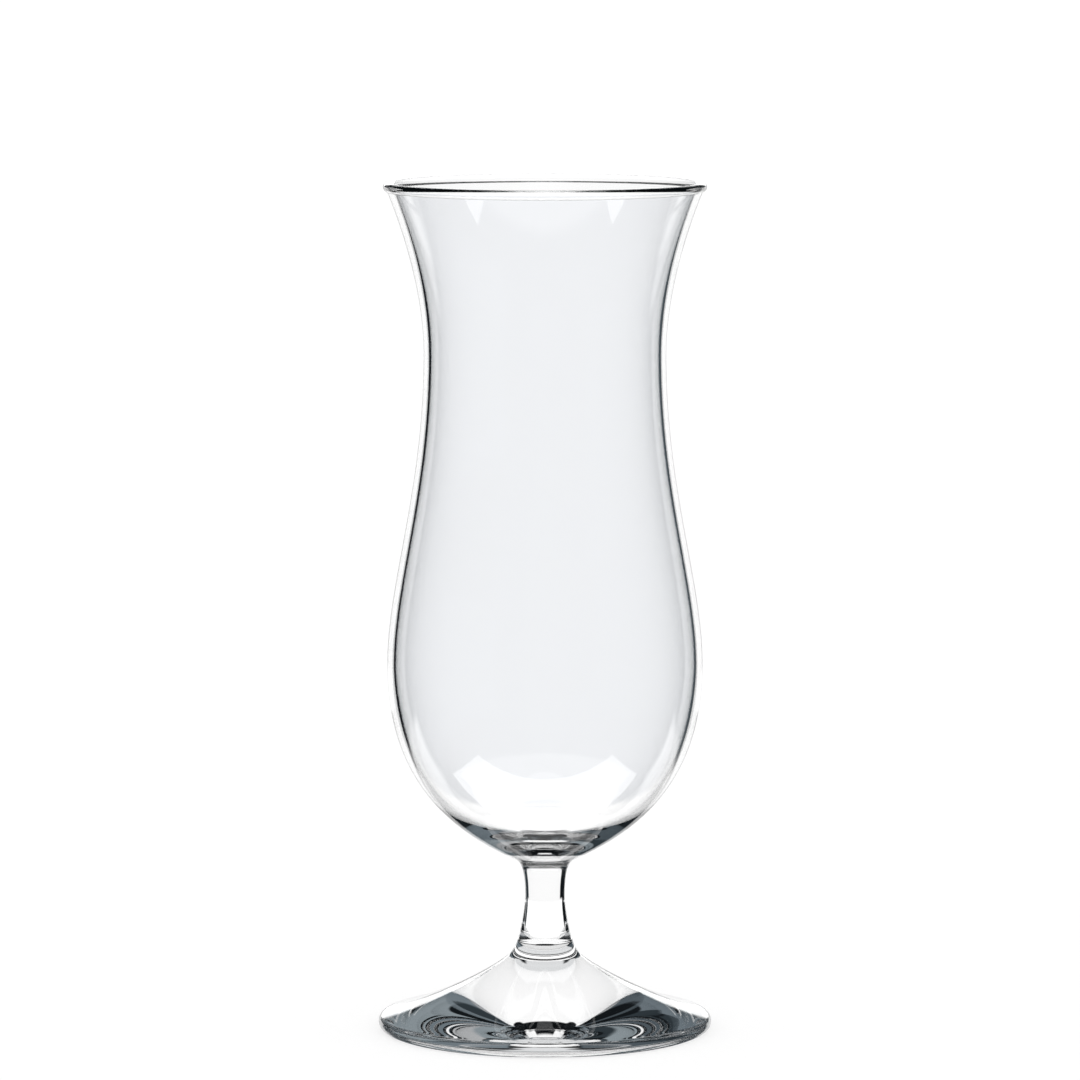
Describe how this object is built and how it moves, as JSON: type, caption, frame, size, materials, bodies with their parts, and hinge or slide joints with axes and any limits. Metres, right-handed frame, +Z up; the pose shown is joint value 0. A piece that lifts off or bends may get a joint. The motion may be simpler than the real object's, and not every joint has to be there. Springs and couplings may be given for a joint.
{
  "type": "cocktail glass",
  "caption": "Tall stemmed cocktail glass with a flared mouth, narrow waist, full belly, short drawn-in stem and low conical foot, for serving mixed drinks.",
  "frame": {"origin": "centre of the flat underside of the foot, at table level", "axes": "+Z up along the axis that every piece is turned about; X and Y level, and alike by symmetry"},
  "size_m": [0.0806, 0.0806, 0.205],
  "materials": {
    "clear_glass": "polished, colourless and clear"
  },
  "bodies": {
    "root": {"bowl": "clear_glass", "stem": "clear_glass", "collar": "clear_glass", "foot": "clear_glass"}
  },
  "joints": []
}
